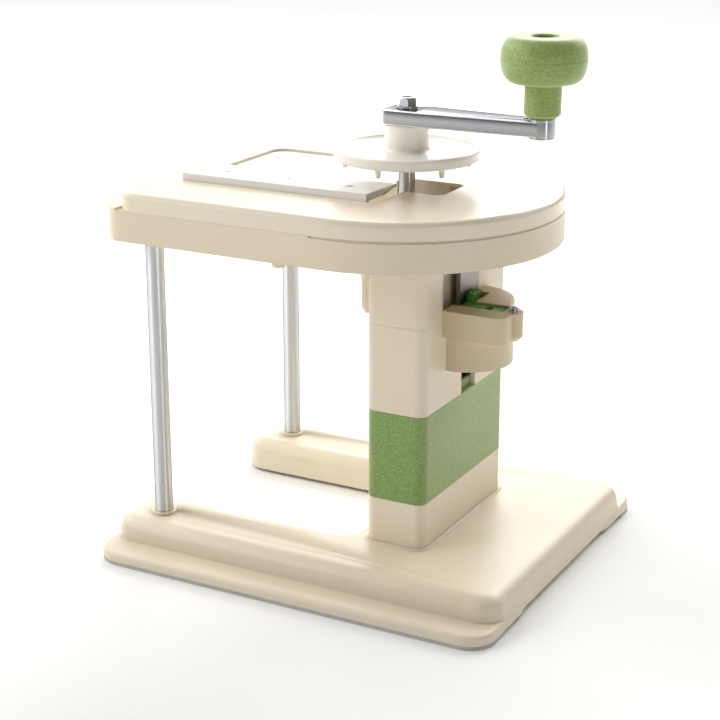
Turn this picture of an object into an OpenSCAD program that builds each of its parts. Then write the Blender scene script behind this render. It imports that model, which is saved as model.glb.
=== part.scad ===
// Hand-cranked cabbage shredder.
// A forked base carries a hollow column and two steel rods, and they carry a D-shaped slicing table.
// The shaft stands in a guide on the column; its crank turns a pronged disk that presses the cabbage
// on the knife, and the shreds fall between the column and the rods.
// Millimetres, +Z up. The origin is on the floor at the middle of the base. The crank arm points to +X.

/* [Base] */
// Length of the base, along the crank arm
base_l = 240; // [220:1:280]
// Width of the base over its two flanges
base_w = 220; // [210:1:260]
// Height of the raised slab above the floor
base_h = 20; // [17:0.5:28]
// Width of the low flange on each side
flange_w = 16; // [10:1:22]
// Height of the flanges above the floor
flange_h = 7.5; // [5:0.5:10]
// Corner radius of the flanges
flange_r = 15; // [8:1:20]
// Width of each arm of the fork
arm_w = 46; // [38:1:52]
// Distance from the gap's inner end to the column
gap_in = 13; // [8:1:24]
// Thickness of the anti-slip strips
strip_t = 2; // [1:0.5:4]

/* [Column] */
// Size of the column along the crank arm
column_l = 35; // [32:1:44]
// Size of the column across the base
column_w = 105; // [98:1:112]
// Distance from the middle of the base to the column's outer face
column_face_x = 57; // [50:1:70]
// Wall of the column sections
column_wall = 3; // [2.4:0.2:3.6]
// Corner radius of the column
column_r = 6; // [4:0.5:8]
// Height of the foot section
foot_h = 26; // [18:1:40]
// Height of the coloured spacer that makes this the tall model
spacer_h = 50; // [40:1:80]
// Height of the section that carries the latch housing
lower_h = 48; // [44:1:60]
// Height of the section under the table
upper_h = 54; // [50:1:64]

/* [Rods] */
// Diameter of the two steel rods
rod_d = 10; // [8:0.5:12]
// Distance from the table's long edges to the rods
rod_edge = 18; // [16:1:22]
// Distance from the base's open end to the rods
rod_in = 23; // [20:1:26]

/* [Table] */
// Distance that the table stays inside the base on each side
table_in = 20; // [16:1:24]
// Distance from the middle of the base to the centre of the table's round end
table_x = 15; // [10:1:20]
// Distance that the table body stays inside the base's open end
table_end = 1; // [0:1:8]
// Length of the ledge between the table body's end and the top plate's
ledge_l = 10; // [6:1:12]
// Height of the table body's skirt
skirt_h = 17; // [15:0.5:24]
// Height of the top plate
plate_h = 9.6; // [8:0.2:12]
// Radius along the top plate's upper edge
plate_fillet = 3; // [1:0.5:5]
// Wall of the table's skirts and skins
table_wall = 3; // [2.4:0.2:3.6]

/* [Knife] */
// Distance from the top plate's straight end to the knife
knife_in = 14.5; // [13:0.5:22]
// Width of the knife
knife_w = 34; // [30:1:36]
// Thickness of the knife
knife_t = 4; // [3:0.5:5]
// Width of the ground bevel under the cutting edge
bevel_w = 16; // [10:1:18]
// Distance from the shaft to the cutting edge, across the table
edge_y = 12.5; // [10:0.5:14]
// Depth of the thickness plate below the table's surface
slice_drop = 1.5; // [0.5:0.25:2.5]

/* [Crank] */
// Distance from the column's inner face to the shaft's axis
shaft_out = 2.5; // [2:0.5:4]
// Diameter of the shaft
shaft_d = 9; // [8:0.5:10]
// Distance from the shaft to the knob's axis
crank_r = 77.5; // [70:0.5:84]
// Width of the arm at the shaft
arm_shaft_w = 21; // [18:0.5:24]
// Width of the arm at the knob
arm_knob_w = 14; // [12:0.5:16]
// Thickness of the arm
arm_t = 8.3; // [7:0.1:10]
// Diameter of the pusher disk
disk_d = 79.2; // [72:0.2:84]
// Height of the disk's rim
disk_rim_h = 6; // [5:0.5:8]
// Height of the disk above the table at its lowest
disk_gap = 15; // [12:0.5:22]
// Length of the prongs under the rim
prong_h = 5.2; // [4:0.2:8]
// Number of prongs
prong_n = 6; // [3:1:8]
// Height of the hub above the rim
hub_h = 12.6; // [8:0.2:18]

/* [Knob] */
// Diameter of the knob's head
knob_d = 44.7; // [38:0.1:50]
// Height of the knob's head
knob_head_h = 23.6; // [18:0.2:28]
// Diameter of the knob's neck
neck_d = 19.4; // [17:0.1:24]
// Height of the knob's neck
neck_h = 17.6; // [12:0.2:24]

/* [Latch] */
// Radius of the half-round housing
housing_r = 25.5; // [25:0.5:28]
// Height of the housing
housing_h = 35; // [32:1:38]
// Height of the block at the housing's upper front
block_h = 14.6; // [14:0.2:18]
// Reach of the block from the column's face
block_l = 35; // [33:1:38]
// Width of the steel strip that hangs from the table
hang_w = 22.5; // [18:0.5:24]
// Reach of the latch's thumb tongue
tongue_l = 24; // [18:0.5:24.5]

/* [Hidden] */
// Overrun of a cut past a surface
over = 1;
// Clearance between pieces that only meet
fit = 0.15;
// Radial clearance of a running fit
run_fit = 0.05;
// Fineness of round surfaces, and of the pieces that a hull joins
$fn = 64;
hull_fn = 32;

// Heights of the construction, from the floor up
foot_z = base_h;
spacer_z = foot_z + foot_h;
lower_z = spacer_z + spacer_h;
upper_z = lower_z + lower_h;
table_z = upper_z + upper_h;
skirt_z = table_z - skirt_h;
surface_z = table_z + plate_h;

// Base
slab_w = base_w - 2 * flange_w;
gap_w = slab_w - 2 * arm_w;
gap_x = column_face_x - column_l - gap_in;
slab_r = 14;
slab_draft = 2.5;
slab_fillet = 7;
arm_tip_r = 13;
flange_fillet = 2.5;
collar_w = 2;
collar_h = 1.2;
socket_ring_w = 2;
socket_ring_d = rod_d + 2 * socket_ring_w;
socket_ring_h = 1.5;
socket_floor = 6;
strip_w = 24;
rod_x = base_l / 2 - rod_in;
rod_screw_reach = 2;

// Column, and the shaft in front of its inner face
column_x = column_face_x - column_l / 2;
shaft_x = column_face_x - column_l - shaft_out;
groove_r = 8.2;
spigot_h = 5;
spigot_wall = 2;
post_d = 9;
bolt_d = 4;
bolt_bore_d = bolt_d + 2 * fit;
bolt_head_d = 8;
bolt_head_h = 3;
bolt_top = 28;
bolt_tip_gap = 4;
post_x = column_l / 2 - column_wall - post_d / 2 + fit;
post_y = column_w / 2 - column_wall - post_d / 2 + fit;
window_w = 18;
window_h = 14;
window_y = 3;

// Shaft guide on the column
guide_r = 7.5;
guide_top_drop = 12;
guide_lift = 10;
guide_z = spacer_z + guide_lift;
guide_top = table_z - guide_top_drop;
guide_play = 0.6;
guide_bore_r = shaft_d / 2 + guide_play;
ear_t = 3;
ear_drop = 31;
ear_z = table_z - ear_drop;
ear_l = 8;
ear_in = 8;
ear_y = column_w / 2 - ear_in;
ear_boss_d = 7;
ear_screw_d = 2.5;
ear_head_d = 4.4;
ear_boss_h = 16;
ear_boss_floor = 2;
sleeve_r = 6;
sleeve_h = 14;
ring_t = 1;
ring_w = 1.2;
ring_gap_deg = 40;
ring_drop = 1;
thrust_h = 8;

// Small screws
screw_d = 3;
screw_head_d = 5.6;
screw_head_h = 2;
screw_slot_w = 0.9;
screw_slot_share = 0.6;

// Table
table_r = base_w / 2 - table_in;
rod_pitch = 2 * (table_r - rod_edge);
body_left = -base_l / 2 + table_end;
plate_left = body_left + ledge_l;
body_r = 12;
plate_r = 10;
skin = 3.6;
seam_step = 1;
rod_socket_wall = 3;
rod_socket_d = rod_d + 2 * rod_socket_wall;
rod_top_gap = 2;
neck_gap = 0.3;
rib_t = 2.4;
rib_h = 12;
lip_h = 1;
guide_room = 1;
hang_room = 1;
nub_d = 7;
nub_h = 2.6;
nub_x = -11;
nub_pitch = 67;
nub_in = 5;
nub_y = table_r - nub_in;

// Openings of the table
throat_x = plate_left + knife_in;
knife_l = shaft_x - throat_x;
knife_end_gap = 6;
hole_l = 37;
hole_back = 8.5;
hole_w = 31;
hole_r = 5;
ramp_start = 4;
ramp_drop = 8;
chute_h = 4;
chute_wall = 2;
mark_l = 5;
mark_h = 2.2;
mark_deep = 1.6;
mark_down = 2.3;
mark_back = 5;
pocket_front = 5.5;
pocket_back = 56;
pocket_left = throat_x;
pocket_hole_gap = 1;
pocket_right = shaft_x - hole_back - pocket_hole_gap;
pocket_r = 8;
pocket_floor = 3;
screw_row_share = 0.62;
thickness_screw_in = 12;
screw_tip_gap = 1;
slice_t = 3;

// Knife
knife_screw_in = 19;
knife_screw_y = edge_y + knife_screw_in;
knife_screw_share = [0.18, 0.515, 0.845];
knife_tip_t = 0.5;
knife_fall = 1;
blade_t = 0.8;
blade_out = 1.5;
blade_in = 1.6;

// Crank
disk_z = surface_z + disk_gap;
rim_z = disk_z + disk_rim_h;
hub_top = rim_z + hub_h;
arm_z = hub_top;
arm_top = arm_z + arm_t;
hub_d = 23.6;
hub_fillet = 3;
disk_skin = 2.2;
rim_w = 2;
prong_d = 3.4;
prong_tip_d = 2.6;
prong_in = 6.2;
prong_ring_r = disk_d / 2 - prong_in;
arm_corner_r = 4;
arm_end = 10.8;
boss_rise = 1.2;
boss_drop = 1.2;
washer_d = 10.8;
washer_t = 1.3;
nut_w = 9;
nut_h = 4.6;
stud_d = 6;
stud_drop = 0.5;
lift_clear = 0.2;

// Knob
knob_lift = 0.6;
knob_z = arm_top + boss_rise + knob_lift;
knob_top = knob_z + neck_h + knob_head_h;
knob_hole_d = 13.5;
knob_hole_h = 9;
knob_bore_r = 3.6;
bolt_cap_d = 10.5;
bolt_cap_h = 4;
bolt_key_d = 5;
bolt_key_h = 2;
knob_neck_chamfer = 1.6;

// Latch
housing_lap = 6;
housing_z = upper_z + housing_lap - housing_h;
housing_top = housing_z + housing_h;
block_z = housing_top - block_h;
block_y = 31;
block_back = 5;
block_r = 6;
pocket_h = 12.5;
tray_front = 18;
tray_back = 6.5;
tray_l = 28.5;
slot_l = 7.8;
slot_back = 12.5;
rim_fillet = 1.2;
tower_d = 10.6;
tower_h = 16;
tower_x = 33.2;
tower_y = 14.2;
hang_t = 2.6;
hang_in = 1.8;
hang_down = 4.2;
hang_z = housing_top - hang_down;
hang_foot_l = 14;
hang_screw_in = 5;
niche_y = -31;
niche_w = 44.5;
niche_d = 6;
niche_rise = 1.2;
catch_down = 2.6;
catch_z = housing_top - catch_down;
catch_h = 4.4;
nose_w = 8;
nose_h = 2.7;
nose_l = 2.4;
nose_gap = 0.6;
latch_gap = 1.3;
latch_x = column_face_x - hang_in + hang_t + latch_gap;
pivot_in = 2.4;
pivot_x = latch_x + pivot_in;
pivot_down = 8.5;
pivot_z = housing_top - pivot_down;
pivot_d = 2;
barrel_r = 2.2;
upright_l = 3.4;
upright_y = -4.8;
upright_w = 10.4;
upright_h = 12;
tongue_y = -17.4;
tongue_w = 10.6;
tongue_t = 2.4;
tongue_rise = 5.1;
finger_l = 3.6;
finger_w = 5;
finger_deep = 1.2;
finger_share = 0.6;
pin_in = 3;
spring_in = 14.5;
spring_x = latch_x + spring_in;
spring_y = -12;
spring_d = 4.4;
spring_wire = 0.7;
spring_n = 5;
spring_seat_d = 5.4;
spring_seat_h = 4;

cream = "#F2E7D2";
green = "#8DB564";
latch_green = "#3F8A2C";
steel = "#C9CCD0";
white = "#F6F3EE";

// Shared shapes

// A flat rectangle with round corners, from its lower left corner
module round_rect(l, w, r) {
    translate([r, 0]) square([l - 2 * r, w]);
    translate([0, r]) square([l, w - 2 * r]);
    for (x = [r, l - r], y = [r, w - r]) translate([x, y]) circle(r);
}

// A round puck with a rounded upper edge and drafted side, for the moulded base
module puck(r, h, fillet, draft) {
    rotate_extrude($fn = hull_fn) {
        square([r - fillet, h]);
        polygon([[0, 0], [r + draft, 0], [r, h - fillet], [0, h - fillet]]);
        translate([r - fillet, h - fillet]) intersection() {
            circle(fillet);
            square(fillet);
        }
    }
}

// A moulded block: the hull of four pucks
module moulded(x0, x1, y0, y1, r, h, fillet, draft) {
    inset = r + draft;
    hull() for (x = [x0 + inset, x1 - inset], y = [y0 + inset, y1 - inset])
        translate([x, y, 0]) puck(r, h, fillet, draft);
}

// A pan-head screw with its head's underside at the origin, pointing down
module screw(d, l, head_d, head_h) {
    translate([0, 0, -l]) cylinder(d = d, h = l);
    difference() {
        cylinder(d1 = head_d, d2 = head_d * screw_slot_share + d * (1 - screw_slot_share), h = head_h);
        for (a = [0, 90]) rotate(a)
            translate([-d * screw_slot_share, -screw_slot_w / 2, head_h / 2])
                cube([2 * d * screw_slot_share, screw_slot_w, head_h]);
    }
}

// Base

module base() {
    color(cream) difference() {
        union() {
            // the two arms and the slab of the fork
            for (s = [-1, 1]) {
                y0 = min(s * gap_w / 2, s * slab_w / 2);
                translate([0, 0, strip_t])
                    moulded(-base_l / 2, gap_x + arm_w, y0, y0 + arm_w, arm_tip_r,
                        base_h - strip_t, slab_fillet, slab_draft);
            }
            translate([0, 0, strip_t])
                moulded(gap_x, base_l / 2, -slab_w / 2, slab_w / 2, slab_r,
                    base_h - strip_t, slab_fillet, slab_draft);
            // the low flanges outside the arms
            for (s = [-1, 1]) {
                y0 = min(s * base_w / 2, s * (base_w / 2 - 2 * flange_r - 2 * flange_w));
                translate([0, 0, strip_t])
                    moulded(-base_l / 2, base_l / 2, y0, y0 + 2 * flange_r + 2 * flange_w, flange_r,
                        flange_h - strip_t, flange_fillet, 0);
            }
            // the collar round the column's foot
            translate([column_x - column_l / 2 - collar_w, -column_w / 2 - collar_w, base_h - over])
                linear_extrude(collar_h + over)
                    round_rect(column_l + 2 * collar_w, column_w + 2 * collar_w, column_r + collar_w);
            // the raised rings round the rods
            for (s = [-1, 1]) translate([-rod_x, s * rod_pitch / 2, base_h - over])
                cylinder(d = socket_ring_d, h = socket_ring_h + over);
        }
        // the seat of the column's foot
        translate([column_x - column_l / 2 - fit, -column_w / 2 - fit, base_h])
            linear_extrude(collar_h + over)
                round_rect(column_l + 2 * fit, column_w + 2 * fit, column_r + fit);
        // the rods' sockets, and their screws from below
        for (s = [-1, 1]) translate([-rod_x, s * rod_pitch / 2, 0]) {
            translate([0, 0, strip_t + socket_floor]) cylinder(d = rod_d + 2 * fit, h = base_h);
            cylinder(d = bolt_bore_d, h = base_h / 2);
            translate([0, 0, strip_t - over]) cylinder(d = bolt_head_d + over, h = over + bolt_head_h);
        }
        // the column bolts' holes, with room for their heads
        for (x = [-1, 1], y = [-1, 1]) translate([column_x + x * post_x, y * post_y, 0]) {
            cylinder(d = bolt_bore_d, h = base_h + over);
            translate([0, 0, strip_t - over]) cylinder(d = bolt_head_d + over, h = over + bolt_head_h);
        }
    }
}

module foot_strip(side) {
    y0 = side < 0 ? -base_w / 2 : base_w / 2 - strip_w;
    color("#C8C8C4") translate([-base_l / 2, y0, 0]) linear_extrude(strip_t) intersection() {
        y1 = side < 0 ? 0 : strip_w - 2 * flange_r - strip_w;
        translate([0, y1]) round_rect(base_l, 2 * flange_r + strip_w, flange_r);
        square([base_l, strip_w]);
    }
}

// Rods

module rod(side) {
    z0 = strip_t + socket_floor;
    color(steel) translate([-rod_x, side * rod_pitch / 2, 0]) difference() {
        translate([0, 0, z0]) cylinder(d = rod_d, h = table_z - rod_top_gap - z0);
        translate([0, 0, z0 - over])
            cylinder(d = bolt_d + 2 * run_fit, h = socket_floor + over + bolt_head_h);
    }
}

module rod_screws() {
    color(steel) for (s = [-1, 1]) translate([-rod_x, s * rod_pitch / 2, strip_t]) {
        translate([0, 0, bolt_head_h]) cylinder(d = bolt_d, h = socket_floor + rod_screw_reach);
        cylinder(d = bolt_head_d, h = bolt_head_h);
    }
}

// Column

// The column's outline: a rounded rectangle with a half-round groove for the shaft guide
module column_outline(grow = 0, groove = true) {
    difference() {
        translate([column_x - column_l / 2 - grow, -column_w / 2 - grow])
            round_rect(column_l + 2 * grow, column_w + 2 * grow, column_r + grow);
        if (groove) translate([shaft_x, 0]) circle(groove_r - grow);
    }
}

// One hollow section of the column, with a spigot on top that locates the next
module column_section(z, h, groove, spigot, posts) {
    difference() {
        union() {
            translate([0, 0, z]) linear_extrude(h) difference() {
                column_outline(0, groove);
                column_outline(-column_wall, groove);
            }
            if (spigot) translate([0, 0, z + h - spigot_h]) linear_extrude(2 * spigot_h) difference() {
                column_outline(-column_wall - fit, true);
                column_outline(-column_wall - fit - spigot_wall, true);
                for (x = [-1, 1], y = [-1, 1]) translate([column_x + x * post_x, y * post_y])
                    circle(d = post_d + 2 * fit);
            }
            if (spigot) translate([0, 0, z + h - spigot_h]) linear_extrude(spigot_h) difference() {
                column_outline(-column_wall + fit, groove);
                column_outline(-column_wall - fit - spigot_wall, true);
            }
            if (posts > 0) for (x = [-1, 1], y = [-1, 1])
                translate([column_x + x * post_x, y * post_y, z]) cylinder(d = post_d, h = posts);
        }
        for (x = [-1, 1], y = [-1, 1]) translate([column_x + x * post_x, y * post_y, z - over])
            cylinder(d = bolt_bore_d, h = posts + 2 * over);
    }
}

module column_foot() {
    color(cream) column_section(foot_z, foot_h, false, true, foot_h);
}

module column_spacer() {
    color(green) difference() {
        union() {
            column_section(spacer_z, spacer_h, true, true, spacer_h);
            // the groove's floor carries the guide
            translate([0, 0, spacer_z]) linear_extrude(guide_z - spacer_z) intersection() {
                translate([shaft_x, 0]) circle(groove_r + column_wall / 2);
                column_outline(0, false);
            }
        }
    }
}

module column_lower() {
    color(cream) difference() {
        column_section(lower_z, lower_h, true, true, bolt_top);
        // the window in the outer face, above the spacer
        translate([column_face_x - column_wall - over, window_y - window_w / 2, lower_z - over])
            cube([column_wall + 2 * over, window_w, window_h + over]);
        // the spigot leaves room for the niche above
        translate([column_face_x - niche_d - 2 * column_wall, niche_y - column_wall - fit, upper_z])
            cube([niche_d + column_wall, niche_w + 2 * column_wall + 2 * fit, spigot_h + over]);
        // the screws of the latch housing
        for (y = [-1, 1])
            translate([column_face_x - 2 * column_wall, y * housing_r / 2, housing_z + housing_h / 4])
                rotate([0, 90, 0]) cylinder(d = screw_d + 2 * fit, h = 3 * column_wall);
    }
}

module column_upper() {
    color(cream) difference() {
        union() {
            column_section(upper_z, upper_h, true, false, 0);
            // the wall behind the strip's niche
            translate([column_face_x - niche_d - column_wall, niche_y - column_wall, upper_z + fit])
                cube([niche_d + column_wall - over, niche_w + 2 * column_wall, upper_h - fit]);
            // the two bosses that carry the guide's ears
            for (s = [-1, 1]) translate([shaft_x, s * ear_y, 0]) {
                translate([0, 0, ear_z - ear_boss_h]) cylinder(d = ear_boss_d, h = ear_boss_h);
                translate([0, 0, ear_z - ear_boss_h - ear_boss_d / 2])
                    cylinder(d1 = ear_boss_d / 2, d2 = ear_boss_d, h = ear_boss_d / 2);
                translate([0, -ear_boss_d / 2, ear_z - ear_boss_h])
                    cube([column_x - column_l / 2 - shaft_x + column_wall / 2, ear_boss_d, ear_boss_h]);
            }
        }
        // the niche of the hanger strip
        translate([column_face_x - niche_d, niche_y, upper_z + niche_rise])
            cube([niche_d + over, niche_w, upper_h]);
        // the ear screws' holes
        for (s = [-1, 1]) translate([shaft_x, s * ear_y, ear_z - ear_boss_h + ear_boss_floor])
            cylinder(d = ear_screw_d + 2 * run_fit, h = ear_boss_h);
        // the opening under the table's hole, above the guide
        translate([column_x - column_l / 2 - over, -hole_w / 2, guide_top])
            cube([shaft_x + groove_r + 2 * column_wall - column_x + column_l / 2, hole_w,
                guide_top_drop + over]);
    }
}

module column_bolts() {
    color(steel) for (x = [-1, 1], y = [-1, 1]) translate([column_x + x * post_x, y * post_y, strip_t]) {
        translate([0, 0, bolt_head_h])
            cylinder(d = bolt_d, h = lower_z + bolt_top - bolt_tip_gap - strip_t - bolt_head_h);
        cylinder(d = bolt_head_d, h = bolt_head_h);
    }
}

// Shaft guide

module shaft_guide() {
    color(white) difference() {
        union() {
            translate([shaft_x, 0, guide_z]) cylinder(r = guide_r, h = guide_top - guide_z);
            // the ears that rest on the column's bosses
            translate([shaft_x, 0, ear_z]) linear_extrude(ear_t) difference() {
                union() {
                    for (s = [-1, 1]) translate([0, s * ear_y]) circle(d = ear_l);
                    translate([-ear_l / 2, -ear_y]) square([ear_l, 2 * ear_y]);
                }
                translate([column_x - column_l / 2 - fit - shaft_x, -column_w / 2]) square([ear_l, column_w]);
            }
        }
        translate([shaft_x, 0, guide_z + thrust_h]) cylinder(r = guide_bore_r, h = guide_top);
        translate([shaft_x, 0, guide_z - over]) cylinder(r = guide_bore_r, h = guide_top);
        translate([shaft_x, 0, guide_top - sleeve_h - ring_t - ring_drop])
            cylinder(r = sleeve_r + run_fit, h = sleeve_h + over + ring_t + ring_drop);
        // the groove of the retaining ring
        translate([shaft_x, 0, guide_top - ring_t - ring_drop])
            cylinder(r = sleeve_r + ring_w / 2, h = ring_t);
        for (s = [-1, 1]) translate([shaft_x, s * ear_y, ear_z - over])
            cylinder(d = ear_screw_d + 2 * fit, h = ear_t + 2 * over);
    }
}

module guide_screws() {
    color(steel) for (s = [-1, 1]) translate([shaft_x, s * ear_y, ear_z + ear_t])
        screw(ear_screw_d, ear_t + ear_boss_h / 2, ear_head_d, screw_head_h);
}

module thrust_pad() {
    color("#3A3A3C") translate([shaft_x, 0, guide_z]) cylinder(r = guide_bore_r, h = thrust_h);
}

module sleeve_ring() {
    color(steel) translate([shaft_x, 0, guide_top - ring_t - ring_drop])
        rotate([0, 0, ring_gap_deg / 2]) rotate_extrude(angle = 360 - ring_gap_deg)
            translate([sleeve_r + ring_w / 2 - ring_w - fit, 0]) square([ring_w, ring_t]);
}

module guide_sleeve() {
    z0 = guide_top - sleeve_h - ring_t - ring_drop;
    color("#E9E6DC") translate([shaft_x, 0, z0]) difference() {
        cylinder(r = sleeve_r, h = sleeve_h - fit);
        translate([0, 0, -over]) cylinder(r = shaft_d / 2 + run_fit, h = sleeve_h + 2 * over);
    }
}

// Table

// The table's plan: a straight end at the left and a round end at the right
module table_plan(left, r, corner) {
    translate([left + corner, -r]) square([table_x - left - corner, 2 * r]);
    translate([left, -r + corner]) square([table_x - left, 2 * r - 2 * corner]);
    for (y = [-1, 1]) translate([left + corner, y * (r - corner)]) circle(corner);
    translate([table_x, 0]) circle(r, $fn = 128);
}

module table_body() {
    inner = table_r - table_wall;
    color(cream) difference() {
        union() {
            // the skirt
            translate([0, 0, skirt_z]) linear_extrude(skirt_h) difference() {
                table_plan(body_left, table_r, body_r);
                table_plan(body_left + table_wall, inner, body_r - table_wall);
            }
            // the ledge at the straight end
            intersection() {
                translate([0, 0, table_z - over]) linear_extrude(over + lip_h)
                    table_plan(body_left, table_r, body_r);
                translate([body_left - over, -table_r - over, table_z - over])
                    cube([ledge_l + over, 2 * table_r + 2 * over, 2 * over + lip_h]);
            }
            translate([0, 0, table_z - table_wall]) linear_extrude(table_wall) intersection() {
                table_plan(body_left + over, table_r - over, body_r - over);
                translate([body_left, -table_r]) square([ledge_l + table_wall, 2 * table_r]);
            }
            // the rods' sockets and the webs that tie them to the skirt
            for (s = [-1, 1]) {
                translate([-rod_x, s * rod_pitch / 2, skirt_z]) cylinder(d = rod_socket_d, h = skirt_h);
                translate([body_left + over, s * rod_pitch / 2 - rib_t / 2, table_z - rib_h])
                    cube([-rod_x - body_left - over, rib_t, rib_h]);
                translate([-rod_x - rib_t / 2, s > 0 ? rod_pitch / 2 : -table_r + over, table_z - rib_h])
                    cube([rib_t, table_r - rod_pitch / 2 - over, rib_h]);
            }
            // the neck round the column's top, with its ribs to the skirt
            translate([0, 0, skirt_z + skirt_h - rib_h]) linear_extrude(rib_h) difference() {
                column_outline(neck_gap + table_wall, false);
                column_outline(neck_gap, false);
            }
            for (s = [-1, 1], x = [column_x - column_l / 4, column_x + column_l / 4]) {
                y0 = column_w / 2 + neck_gap + over;
                y1 = edge_at(x + rib_t / 2, table_r - over);
                translate([x - rib_t / 2, s > 0 ? y0 : -y1, table_z - rib_h]) cube([rib_t, y1 - y0, rib_h]);
            }
            for (s = [-1, 1])
                translate([column_face_x + neck_gap + over, s * column_w / 4 - rib_t / 2, table_z - rib_h])
                    cube([table_x + sqrt(inner * inner - column_w * column_w / 16) - column_face_x,
                        rib_t, rib_h]);
            // the bosses of the table's screws
            for (x = [nub_x, nub_x + nub_pitch], s = [-1, 1])
                translate([x, s * edge_at(x, nub_y), skirt_z - nub_h])
                    cylinder(d = nub_d, h = skirt_h + nub_h);
        }
        // room for the shaft and for the hanging strip
        translate([shaft_x, 0, skirt_z]) cylinder(r = guide_r + guide_room, h = skirt_h + over);
        translate([column_x - column_l / 2 - neck_gap - table_wall - over, -hole_w / 2, skirt_z])
            cube([table_wall + 2 * over, hole_w, skirt_h + over]);
        translate([column_face_x - hang_room, -hang_w / 2 - hang_room, skirt_z])
            cube([hang_foot_l + 2 * hang_room, hang_w + 2 * hang_room, skirt_h + over]);
        // the shadow line under the top plate, along the round end only
        translate([table_x, 0, table_z - seam_step]) difference() {
            translate([-table_x + shaft_x / 2, -table_r - over, 0])
                cube([table_r + over + table_x, 2 * table_r + 2 * over, seam_step + over]);
            translate([0, 0, -over]) cylinder(r = table_r - seam_step, h = seam_step + 3 * over, $fn = 128);
        }
        for (s = [-1, 1]) translate([-rod_x, s * rod_pitch / 2, skirt_z - over])
            cylinder(d = rod_d + 2 * fit, h = skirt_h - rod_top_gap + over);
        for (x = [nub_x, nub_x + nub_pitch], s = [-1, 1])
            translate([x, s * edge_at(x, nub_y), skirt_z - nub_h - over]) {
                cylinder(d = screw_d + 2 * fit, h = skirt_h + nub_h + 2 * over);
                cylinder(d = screw_head_d + 2 * fit, h = screw_head_h + over);
            }
    }
}

// Half the width, at a given place along the table, of a table with this radius
function edge_at(x, r) = x < table_x ? r : sqrt(r * r - (x - table_x) * (x - table_x));

module table_screws() {
    color(steel) for (x = [nub_x, nub_x + nub_pitch], s = [-1, 1])
        translate([x, s * edge_at(x, nub_y), skirt_z - nub_h + screw_head_h]) mirror([0, 0, 1])
            screw(screw_d, skirt_h + nub_h - screw_head_h + plate_h / 2, screw_head_d, screw_head_h);
}

// The top plate's outer form, with a round upper edge on every side
module plate_form() {
    f = plate_fillet;
    r = table_r;
    module edge(w) {
        square([w - f, plate_h]);
        square([w, plate_h - f]);
        translate([w - f, plate_h - f]) circle(f);
    }
    translate([table_x, 0, 0]) rotate_extrude($fn = 128) edge(r);
    // the straight sides
    translate([plate_left + plate_r, 0, 0]) rotate([90, 0, 90])
        linear_extrude(table_x - plate_left - plate_r) {
            edge(r);
            mirror([1, 0]) edge(r);
        }
    // the straight end and its two corners
    translate([plate_left + plate_r, r - plate_r, 0]) rotate([90, 0, 0])
        linear_extrude(2 * r - 2 * plate_r) mirror([1, 0]) edge(plate_r);
    for (s = [-1, 1]) translate([plate_left + plate_r, s * (r - plate_r), 0]) rotate_extrude() edge(plate_r);
}

module table_top() {
    inner = table_r - table_wall;
    color(cream) difference() {
        union() {
            difference() {
                translate([0, 0, table_z]) plate_form();
                translate([0, 0, table_z - over]) linear_extrude(plate_h - skin + over)
                    table_plan(plate_left + table_wall, inner, plate_r - table_wall);
            }
            // the thicker bed under the knife and the thickness plate
            translate([throat_x - pocket_r - table_wall, -edge_y - knife_w - table_wall, table_z])
                cube([knife_l + pocket_r + knife_end_gap + 2 * table_wall,
                    edge_y + knife_w + pocket_back + 2 * table_wall, plate_h - skin]);
            // the frame that rests on the column
            translate([0, 0, table_z]) linear_extrude(plate_h - skin) difference() {
                column_outline(0, false);
                column_outline(-column_wall, false);
            }
            // the lips that guide the trimmings into the column
            for (s = [-1, 1]) translate([column_x - column_l / 2 + column_wall + neck_gap,
                s > 0 ? hole_w / 2 - over : -hole_w / 2 - chute_wall, table_z - chute_h])
                cube([column_l - 2 * column_wall - niche_d - 2 * neck_gap, chute_wall + over,
                    plate_h - skin + chute_h]);
            for (x = [nub_x, nub_x + nub_pitch], s = [-1, 1])
                translate([x, s * edge_at(x, nub_y), table_z]) cylinder(d = nub_d, h = plate_h - skin);
        }
        // the hole round the shaft
        translate([shaft_x - hole_back, -hole_w / 2, table_z - chute_h - over])
            linear_extrude(plate_h + chute_h + 2 * over) round_rect(hole_l, hole_w, hole_r);
        // the throat under the cutting edge
        translate([throat_x, -edge_y - bevel_w + over, table_z - over])
            cube([knife_l, bevel_w + edge_y + pocket_front - over, plate_h + 2 * over]);
        // the ramp past the knife's end
        translate([shaft_x - hole_back, 0, 0]) rotate([90, 0, 90]) linear_extrude(hole_back + knife_end_gap)
            polygon([[-edge_y - knife_w, surface_z - ramp_start], [-edge_y - knife_w, surface_z + over],
                [pocket_front, surface_z + over], [pocket_front, table_z - over],
                [-edge_y - over, surface_z - ramp_drop]]);
        // the mark in the hole's far wall
        translate([shaft_x - hole_back + hole_l - mark_back - mark_l, hole_w / 2 - over,
            surface_z - mark_down - mark_h]) cube([mark_l, mark_deep + over, mark_h]);
        // the pocket of the thickness plate
        translate([pocket_left, pocket_front, surface_z - slice_drop - slice_t])
            linear_extrude(slice_drop + slice_t + over) pocket_plan(0);
        // screw holes
        for (k = knife_screw_share) translate([throat_x + k * knife_l, -knife_screw_y, table_z - over])
            cylinder(d = screw_d + 2 * run_fit, h = plate_h + 2 * over);
        thickness_places() translate([0, 0, table_z - over])
            cylinder(d = screw_d + 2 * run_fit, h = plate_h);
        for (x = [nub_x, nub_x + nub_pitch], s = [-1, 1])
            translate([x, s * edge_at(x, nub_y), table_z - over])
                cylinder(d = screw_d + 2 * run_fit, h = plate_h / 2 + 2 * over);
    }
}

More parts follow.
